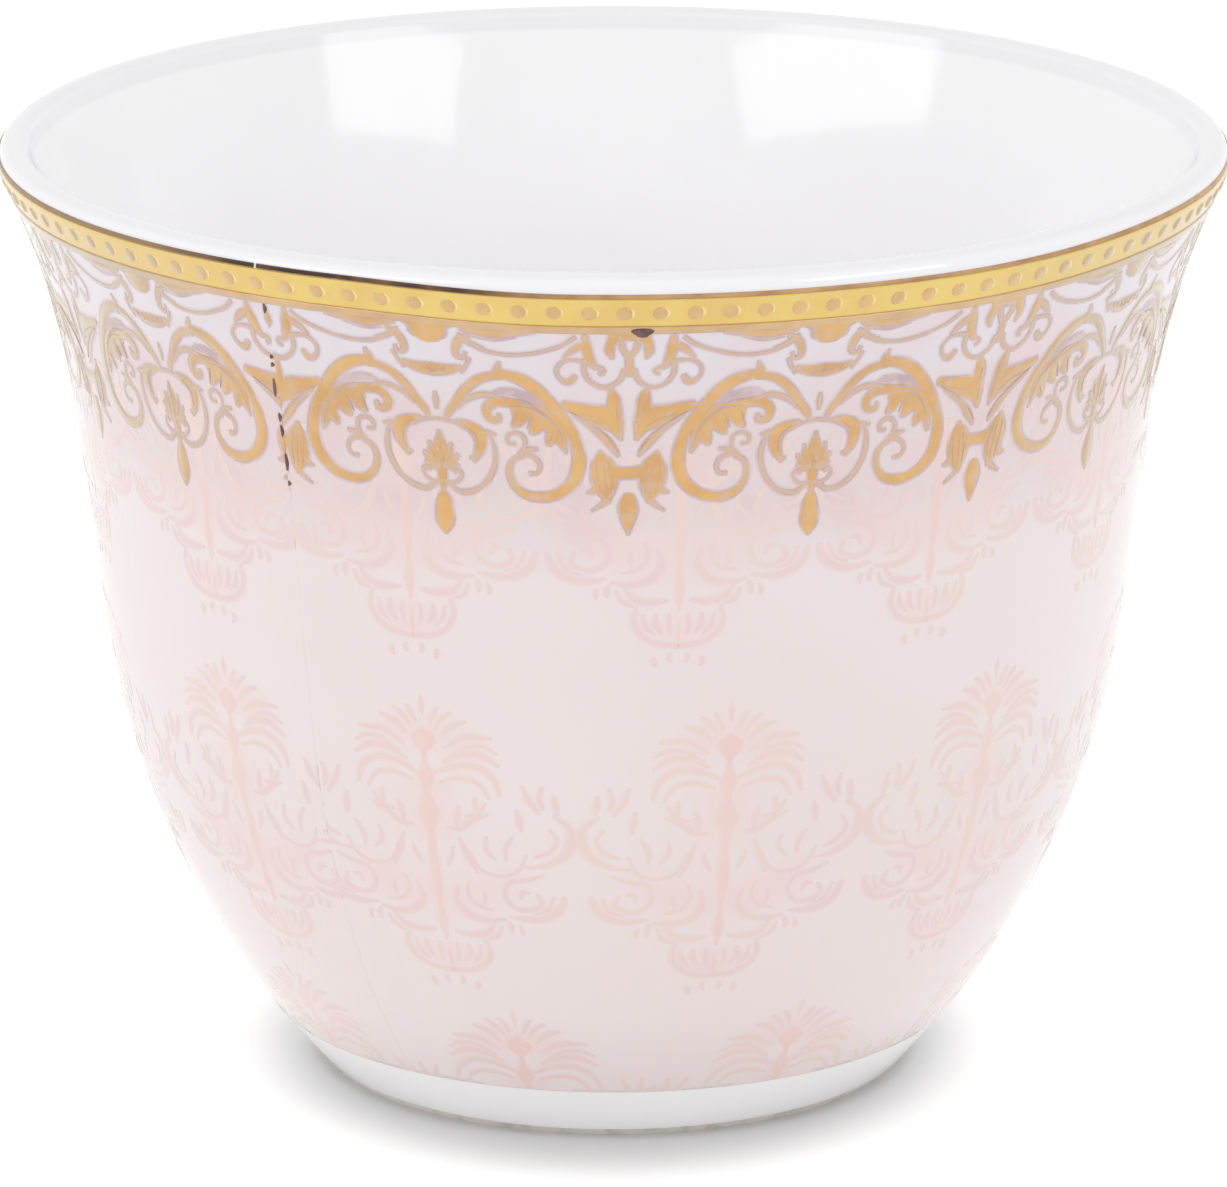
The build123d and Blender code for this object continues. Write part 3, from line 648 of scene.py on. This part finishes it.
class Print:
    """Collects strokes laid on the wall into one mesh."""

    def __init__(self):
        self.verts, self.faces, self.inks = [], [], []

    def mesh(self):
        """Its vertices, faces and ink."""
        return self.verts, self.faces, self.inks

    def add(self, verts, inks, faces):
        """Adds a mesh with the strength of its ink."""
        base = len(self.verts)
        self.verts.extend(map(tuple, verts))
        self.inks.extend(inks)
        self.faces.extend(tuple(base + k for k in face) for face in faces)

    def stroke(self, parts, place, flip=False, cuts=(), downward=False):
        """Adds one ribbon at a place, which turns sideways and up, or down, into an angle and a height."""
        sideways, along, lifts, inks, faces = parts
        angle, height = place(-sideways if flip else sideways, along)
        verts = on_wall(angle, height, lifts)
        if flip == downward:
            faces = [face[::-1] for face in faces]
        for point, outward in cuts:
            beyond = (verts - np.array(point)) @ np.array(outward)
            if beyond.min() >= 0:
                return
            if beyond.max() > 0:
                verts, inks, faces = cut(verts, inks, faces, point, outward)
                if not len(verts):
                    return
        self.add(verts, inks, faces)


def border_place(axis):
    """Where the border's sideways and down measures lie for a motif on an axis."""
    squeeze = last_squeeze if axis == last_medallion else 1.0
    return lambda sideways, down: (axis + np.degrees(squeeze * sideways / border_radius), border_top - down)


def beside(axis, radius, base=0.0):
    """Where sideways and upward measures lie beside an axis, with sideways sizes measured at a radius."""
    return lambda sideways, up: (axis + np.degrees(sideways / radius), base + up)


def joint_angle(height):
    """The angle of the sleeve's joint at a height: it leans a little near the top."""
    share = np.clip((np.asarray(height, float) - joint_bend) / (border_top - joint_bend), 0, 1)
    return joint_low + (joint_high - joint_low) * share


def joint_place(sideways, height):
    """Where sideways measures and heights lie beside the sleeve's joint."""
    return joint_angle(height) + np.degrees(sideways / border_radius), height


def joint_plane(low, high):
    """A plane through the joint between two heights: a point on it and the direction of larger angles."""
    bottom, top = (on_wall(joint_angle(h), np.array(h), 0.0) for h in (low, high))
    middle = radians(float(joint_angle((low + high) / 2)))
    outward = np.cross(top - bottom, (-sin(middle), cos(middle), 0))
    outward /= np.linalg.norm(outward)
    return tuple(bottom), outward * np.sign(outward @ (cos(middle), sin(middle), 0))


def draw(target, strokes, axes, layer, mirrored=True, widen=0.0, soft=0.0, cuts=None):
    """Draws the strokes of a motif at each axis, on both sides of it where they are mirrored."""
    for stroke in strokes:
        parts = ribbon(stroke, layer, widen, soft)
        for axis in axes:
            for flip in (False, True) if mirrored else (False,):
                target.stroke(parts, border_place(axis), flip, (cuts or {}).get(axis, ()), True)


def srgb(red, green, blue):
    """Linear colour of display values from 0 to 255."""
    values = [v / 255 for v in (red, green, blue)]
    return tuple(v / 12.92 if v <= 0.04045 else ((v + 0.055) / 1.055) ** 2.4 for v in values) + (1.0,)


# Pale gold and pale yellow of the painted reflection at the cup's sides
reflected_gold, reflected_yellow = srgb(192, 176, 152), srgb(228, 199, 132)


def new_material(name, tone, roughness, metallic=0.0, coat=0.0, relief=None):
    """A node material whose colour a tone function makes, with fine relief by noise and depth."""
    material = bpy.data.materials.new(name)
    material.use_nodes = True
    tree = material.node_tree
    sockets = tree.nodes["Principled BSDF"].inputs
    sockets["Roughness"].default_value = roughness
    sockets["Metallic"].default_value = metallic
    sockets["Coat Weight"].default_value = coat
    sockets["Coat Roughness"].default_value = coat_roughness
    tree.links.new(tone(tree, name), sockets["Base Color"])
    if relief:
        scale, detail, depth = relief
        inputs = {"Strength": 1.0, "Distance": depth * MM, "Height": noise(tree, scale, detail)}
        tree.links.new(new_node(tree, "Bump", inputs).outputs["Normal"], sockets["Normal"])
    return material


def new_node(tree, kind, inputs=(), **settings):
    """A new shader node with its settings, and its inputs by name or number, each a value or an output."""
    node = tree.nodes.new("ShaderNode" + kind)
    for name, value in settings.items():
        setattr(node, name, value)
    for socket, value in dict(inputs).items():
        if isinstance(value, bpy.types.NodeSocket):
            tree.links.new(value, node.inputs[socket])
        else:
            node.inputs[socket].default_value = value
    return node


def object_point(tree):
    """The point on the object, in metres."""
    return new_node(tree, "TexCoord").outputs["Object"]


def noise(tree, scale, detail):
    """Noise from 0 to 1 with a scale in waves per metre."""
    inputs = {"Vector": object_point(tree), "Scale": scale, "Detail": detail, "Roughness": noise_roughness}
    return new_node(tree, "TexNoise", inputs).outputs["Fac"]


def ramp(tree, value, low, high, first=0.0, last=1.0):
    """A value mapped smoothly from one range to another."""
    inputs = {"Value": value, "From Min": low, "From Max": high, "To Min": first, "To Max": last}
    return new_node(tree, "MapRange", inputs, interpolation_type="SMOOTHSTEP").outputs["Result"]


def mix(tree, share, first, second):
    """A mix of two colours, each a constant or an output."""
    return new_node(tree, "Mix", {"Factor": share, 6: first, 7: second}, data_type="RGBA").outputs[2]


def speckle(tree, scale, detail, low, high, first=0.0, last=1.0):
    """Noise between two levels, mapped from one value to another."""
    return ramp(tree, noise(tree, scale, detail), low, high, first, last)


def patches(tree, name):
    """Two tones of the table in soft patches."""
    first, second, *waves = TONES[name]
    return mix(tree, speckle(tree, *waves), srgb(*first), srgb(*second))


def axis_value(tree, axis):
    """One coordinate of the point on the object."""
    return new_node(tree, "SeparateXYZ", {"Vector": object_point(tree)}).outputs[axis]


def fade(tree, axis, start, full, last=1.0):
    """Rises from 0 along an axis, between two places in millimetres."""
    return ramp(tree, axis_value(tree, axis), start * MM, full * MM, 0.0, last)


def glaze_tone(tree, name):
    """White porcelain under the glaze, with painted shade that makes it a little greyer at the lip and on its
    crest.
    """
    tone = patches(tree, name)
    for start, full, colour in LIP_PAINTED_SHADE:
        tone = mix(tree, fade(tree, "Z", cup_height - start, cup_height - full), tone, srgb(*colour))
    return tone


def ground_tone(tree, name="sleeve_ground"):
    """The sleeve's ground: lilac white under the band, pink haze behind the border, pale pink below."""
    tone = patches(tree, name)
    for start, full, lower in GROUND_TONES:
        tone = mix(tree, fade(tree, "Z", start, full), tone, patches(tree, lower))
    return tone


def ink_strength(tree):
    """Strength of the ink, from 0 to 1, that a mesh carries at its points."""
    return new_node(tree, "Attribute", attribute_name="ink").outputs["Fac"]


def ink_tone(tree, name):
    """Ink that fades into the sleeve's ground as its strength falls."""
    return mix(tree, ink_strength(tree), ground_tone(tree), patches(tree, name))


def side_reflection(tree):
    """Rises from the front and back of the cup to its two sides, where a painted reflection pales the gold
    and enamel.
    """
    away = calculate(tree, "ABSOLUTE", axis_value(tree, "X"))
    return ramp(tree, away, side_reflection_start * MM, side_reflection_full * MM, 0.0, side_reflection_share)


def gold_tone(tree, name):
    """Gold, paler at the cup's sides by a painted reflection. The border's is worn in places and fainter in
    thin lines.
    """
    tone = patches(tree, name)
    if name == "border_gold":
        thin = srgb(*faint_gold)
        tone = mix(tree, ink_strength(tree), thin, mix(tree, speckle(tree, *GOLD_WEAR), tone, thin))
    return mix(tree, side_reflection(tree), tone, reflected_gold)


def rim_tone(tree, name):
    """The lip's gold line, darker on the left, and paler at its end by a painted reflection."""
    tone = mix(tree, fade(tree, "X", *RIM_DARK), patches(tree, name), patches(tree, "rim_dark"))
    return mix(tree, fade(tree, "X", *RIM_REFLECTION), tone, srgb(*rim_reflection_tone))


def enamel_tone(tree, name):
    """Yellow enamel, deeper in places and paler at the cup's sides by a painted reflection."""
    return mix(tree, side_reflection(tree), patches(tree, name), reflected_yellow)


def fired_gold(name, metallic=0.55):
    """Satin fired gold, slightly uneven in gloss."""
    material = new_material(name, gold_tone, gold_roughness, metallic, coat=1.0, relief=GOLD_RELIEF)
    tree = material.node_tree
    sockets = tree.nodes["Principled BSDF"].inputs
    sockets["Sheen Weight"].default_value = gold_sheen
    sockets["Sheen Roughness"].default_value = gold_sheen_roughness
    sockets["Sheen Tint"].default_value = srgb(*gold_sheen_tint)
    tree.links.new(speckle(tree, *GOLD_GLOSS), sockets["Roughness"])
    return material


def calculate(tree, operation, *values):
    """The result of a maths node; each value is a number or an output."""
    return new_node(tree, "Math", enumerate(values), operation=operation).outputs[0]


def seen_rays(tree):
    """One for rays that show the background: camera, glossy and transmitted rays."""
    path = new_node(tree, "LightPath").outputs
    reflected = calculate(tree, "MAXIMUM", path["Is Camera Ray"], path["Is Glossy Ray"])
    return calculate(tree, "MAXIMUM", reflected, path["Is Transmission Ray"])


def make_coats():
    """The glaze, and better materials on the solids that stay."""
    glazed = new_material("porcelain_glaze", glaze_tone, roughness=0.09, relief=GLAZE_RELIEF)
    bare = new_material("bare_porcelain", patches, roughness=0.75, relief=BARE_RELIEF)
    skin = lathe(np.concatenate([cup_profile(0.0), cup_profile(glaze)[::-1]]))
    piece("glaze_skin", skin, glazed, ["glaze_coat"])
    for node, material in (("cup_body", bare), ("base_glaze", glazed)):
        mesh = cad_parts[node].data
        mesh.materials.clear()
        mesh.materials.append(material)


def make_sleeve():
    """The printed sleeve, wrapped once round the cup with an open joint."""
    rows = np.linspace(bare_strip + hem_low, border_top - hem_high, sleeve_rows)
    heights = np.concatenate([[bare_strip], rows, [border_top]])
    edge = joint_edge / (2 * pi * waist[0])
    share = np.concatenate([[0, edge / 2], np.linspace(edge, 1 - edge, round_steps - 3), [1 - edge / 2, 1]])
    lifts = np.full((heights.size, share.size), film)
    lifts[:, [1, -2]] = beside_joint
    lifts[[0, -1], :] = at_hem
    lifts[1:-1, [0, -1]] = at_joint
    half_gap = np.degrees(joint_gap / 2 / wall_point(heights, 0.0)[0])[:, None]
    angles = joint_angle(heights)[:, None] + half_gap + (360 - 2 * half_gap) * share
    ground = new_material("sleeve_ground", ground_tone, roughness=0.12, coat=print_coat, relief=SLEEVE_RELIEF)
    piece("printed_sleeve", wrap(angles, heights, lifts, True), ground, ["pink_sleeve"])


def make_bands():
    """The gold lines and the enamel band under the lip."""
    rim = new_material("rim_gold", rim_tone, roughness=0.3, metallic=0.5)
    line = fired_gold("line_gold")
    yellow = new_material("yellow_enamel", enamel_tone, roughness=0.18, coat=0.3)
    for name, low, high, thickness, gap, material, slot, node in (
        ("lip_line", rim_line_low, rim_line_high, film, rim_line_gap, rim, "gold", "rim_line"),
        ("enamel", enamel_low, enamel_high, film, 0.0, yellow, "yellow_enamel", "enamel_band"),
        ("lower_line", band_line_low, band_line_high, lower_line_film, 0.0, line, "gold", "band_line"),
    ):
        piece(name, band(low, high, thickness, gap), material, [node])


def make_beads():
    """Low round beads on the enamel, each with a painted highlight on its right."""
    beads, lights = Print(), Print()
    seat_radius = float(wall_point(np.array(bead_height), film)[0])
    turns = 2 * pi * np.arange(bead_sides) / bead_sides
    shares = np.arange(bead_rings + 1) / bead_rings
    sideways = bead_radius * np.append(0, np.outer(shares[1:], np.cos(turns)))
    up = bead_radius * np.append(0, np.outer(shares[1:], np.sin(turns)))
    dome = film - bead_sunk + (bead_rise + bead_sunk) * np.sqrt(1 - shares**bead_round)
    lifts = np.append(dome[0], np.repeat(dome[1:], bead_sides))
    outermost = 1 + (bead_rings - 1) * bead_sides
    faces = [(0, 1 + j, 1 + (j + 1) % bead_sides) for j in range(bead_sides)]
    for base in range(1, outermost, bead_sides):
        for j in range(bead_sides):
            a, b = base + j, base + (j + 1) % bead_sides
            faces.append((a, a + bead_sides, b + bead_sides, b))
    faces.append(tuple(range(outermost, outermost + bead_sides))[::-1])
    light = ribbon(BEAD_LIGHT, light_layer)
    for k in range(bead_count):
        place = beside(first_bead + 360 * k / bead_count, seat_radius, bead_height)
        beads.add(on_wall(*place(sideways, up), lifts), np.ones(lifts.size), faces)
        lights.stroke(light, place)
    piece("bead_row", beads.mesh(), fired_gold("bead_gold", metallic=0.3), ["gold_beads"])
    shine = new_material("pale_shine", patches, roughness=0.25)
    piece("bead_lights", lights.mesh(), shine)


def make_border():
    """The gold border: its outlines, its gold and its veins."""
    hidden = np.linspace(front_medallions[-1], last_medallion, medallion_count - len(front_medallions) + 1)
    medallions = [*front_medallions, *hidden[1:-1].tolist(), last_medallion]
    between = [(a + b) / 2 for a, b in zip(medallions, medallions[1:])]
    clusters = [medallions[0] - repeat_angle / 2, *between, medallions[-1] + repeat_angle / 2]
    point, outward = joint_plane(*border_cut)
    cuts = {clusters[0]: [(point, -outward)], clusters[-1]: [(point, outward)]}
    gold = fired_gold("border_gold")
    outlines, veins = Print(), Print()
    for name, node, axes, single, mirrored in (
        ("festoons", "gold_festoons", medallions, TAB, FESTOON + SWAG),
        ("scrolls", "gold_scrolls", medallions, [], SCROLL + ACANTHUS),
        ("medallions", "gold_medallions", medallions, PALMETTE, LYRE),
        ("medallion_pendants", "medallion_drops", medallions, MEDALLION_DROP, []),
        ("clusters", "gold_clusters", clusters, CLUSTER_MIDDLE, CLUSTER),
        ("cluster_pendants", "cluster_drops", between, CLUSTER_DROP, []),
    ):
        leaves = Print()
        for strokes, both in ((single, False), (mirrored, True)):
            draw(leaves, strokes, axes, gold_layer, both, cuts=cuts)
            draw(outlines, strokes, axes, outline_layer, both, outline_edge, outline_soft, cuts)
        piece(name, leaves.mesh(), gold, [node])
    draw(outlines, SHADE, medallions, outline_layer, True, outline_soft, outline_soft)
    draw(veins, SIDE_VEINS, medallions, vein_layer)
    draw(veins, AXIS_VEINS, medallions, vein_layer, False)
    draw(veins, CLUSTER_VEINS, clusters, vein_layer, cuts=cuts)
    mauve = new_material("mauve_ink", ink_tone, roughness=0.25, coat=print_coat)
    piece("border_outlines", outlines.mesh(), mauve)
    vein_ink = new_material("vein_ink", patches, roughness=0.25)
    piece("border_veins", veins.mesh(), vein_ink)


def make_damask():
    """Rows of pale damask palms on the sleeve: a haze, stems and leaves, cut at its joint and lower edge."""
    stems, leaves = Print(), Print()
    inks = [(stems, wash(stroke, haze_layer, haze_ink), (False,)) for stroke in PALM_HAZE]
    for stroke in PALM_MIDDLE:
        inks.append((stems, ribbon(stroke, damask_layer, 0.0, palm_soft, palm_faint), (False,)))
    for stroke in PALM_SIDE:
        inks.append((leaves, ribbon(stroke, damask_layer, palm_edge, palm_soft, palm_faint), (False, True)))
    point, outward = joint_plane(*palm_cut)
    for head, first, step, count, low, high in PALM_ROWS:
        joint_cuts = {0: [(point, -outward)], count - 1: [(point, outward)]}
        for target, parts, sides in inks:
            levels = head + parts[1]
            if levels.max() < low or levels.min() > high:
                continue
            ends = []
            if levels.min() < low:
                ends.append(((0, 0, low), (0, 0, -1)))
            if levels.max() > high:
                ends.append(((0, 0, high), (0, 0, 1)))
            for k in range(count):
                for flip in sides:
                    place = palm_place(first + step * k, head)
                    target.stroke(parts, place, flip, ends + joint_cuts.get(k, []))
    looks = (("damask_palms", stems, "damask_pink"), ("damask_leaves", leaves, "damask_cream"))
    for name, target, ink in looks:
        material = new_material(ink, ink_tone, roughness=0.14, coat=print_coat)
        piece(name, target.mesh(), material)


def palm_place(axis, head):
    """Where a palm's sideways and upward measures lie for an axis and a height of its head."""
    def place(sideways, up):
        height = np.clip(head + up, glaze_edge[1], border_top)
        return axis + np.degrees(sideways / wall_point(height, film)[0]), head + up
    return place


def make_flaws():
    """Dark flakes along the joint and one fleck under the band."""
    target = Print()
    for top, low in JOINT_FLAKES:
        flake = [(0, top, flake_end), (flake_lean, (top + low) / 2, flake_width), (0, low, flake_end)]
        target.stroke(ribbon(flake, flake_layer), joint_place)
    target.stroke(ribbon(FLECK, fleck_layer), beside(fleck_angle, border_radius))
    piece("print_flakes", target.mesh(), new_material("dark_flake", patches, roughness=0.4))


def make_floor():
    """A pale floor, darker as it is seen, whose glow rises away from the cup: a painted fade that leaves only
    the shadow by the foot.
    """
    half = floor_half * MM
    corners = [(-half, -half, 0), (half, -half, 0), (half, half, 0), (-half, half, 0)]
    mesh = bpy.data.meshes.new("floor")
    mesh.from_pydata(corners, [], [(0, 1, 2, 3)])
    material = bpy.data.materials.new("floor_white")
    material.use_nodes = True
    tree = material.node_tree
    tree.nodes.clear()
    tone = ramp(tree, seen_rays(tree), 0.0, 1.0, floor_white, floor_seen)
    squeezed = new_node(tree, "VectorMath", {0: object_point(tree), 1: glow_squeeze}, operation="MULTIPLY")
    ends = {0: squeezed.outputs[0], 1: Vector(glow_centre) * MM}
    away = new_node(tree, "VectorMath", ends, operation="DISTANCE").outputs["Value"]
    near = ramp(tree, away, glow_start * MM, glow_full * MM, 0, floor_glow)
    far = ramp(tree, away, far_start * MM, far_full * MM, floor_glow, far_glow)
    strength = calculate(tree, "MULTIPLY", seen_rays(tree), calculate(tree, "MINIMUM", near, far))
    diffuse = new_node(tree, "BsdfDiffuse", {"Color": tone}).outputs[0]
    glow = new_node(tree, "Emission", {"Strength": strength}).outputs[0]
    both = new_node(tree, "AddShader", {0: diffuse, 1: glow}).outputs[0]
    new_node(tree, "OutputMaterial", {"Surface": both})
    mesh.materials.append(material)
    floor = new_object("floor", mesh)


def make_room():
    """A soft white room, brighter at the sides and overhead, that is plain white where it is seen."""
    world = bpy.data.worlds.new("studio")
    world.use_nodes = True
    tree = world.node_tree
    tree.nodes.clear()
    generated = new_node(tree, "TexCoord").outputs["Generated"]
    direction = new_node(tree, "SeparateXYZ", {"Vector": generated}).outputs
    sides = calculate(tree, "ABSOLUTE", direction["X"])
    overhead = calculate(tree, "MAXIMUM", direction["Z"], 0.0)
    ahead = calculate(tree, "MINIMUM", direction["Y"], 0.0)
    level = room_light
    for part, strength in ((sides, room_sides), (overhead, room_top), (ahead, room_front)):
        level = calculate(tree, "MULTIPLY_ADD", part, strength, level)
    white = (1, 1, 1, 1)
    soft = new_node(tree, "Background", {"Color": white, "Strength": level}).outputs[0]
    seen = new_node(tree, "Background", {"Color": white, "Strength": 1.0}).outputs[0]
    either = new_node(tree, "MixShader", {0: seen_rays(tree), 1: soft, 2: seen}).outputs[0]
    new_node(tree, "OutputWorld", {"Surface": either})
    bpy.context.scene.world = world


def make_lamps():
    """Two soft boxes, left and right of the camera."""
    middle = Vector((0, 0, cup_height / 2 * MM))
    for name, angle, rise, width, height, power in SOFT_BOXES:
        lamp = bpy.data.lights.new(name, "AREA")
        lamp.shape = "RECTANGLE"
        lamp.size, lamp.size_y, lamp.energy = width, height, power
        box = new_object(name, lamp)
        turn, tilt = radians(angle), radians(rise)
        away = Vector((sin(turn) * cos(tilt), -cos(turn) * cos(tilt), sin(tilt)))
        box.location = middle + away * box_distance
        box.rotation_euler = away.to_track_quat("Z", "Y").to_euler()


def make_camera():
    """The camera at the photograph's place."""
    data = bpy.data.cameras.new("camera")
    data.sensor_fit = "HORIZONTAL"
    data.sensor_width, data.lens, data.clip_start = camera_sensor, camera_lens, camera_near * MM
    camera = new_object("camera", data)
    camera.location = Vector(camera_place) * MM
    camera.rotation_euler = (pi / 2 - camera_pitch, 0, 0)
    bpy.context.scene.camera = camera


make_coats()
make_sleeve()
make_bands()
make_beads()
make_border()
make_damask()
make_flaws()
make_floor()
make_room()
make_lamps()
make_camera()
bpy.context.scene.view_settings.view_transform = "Standard"
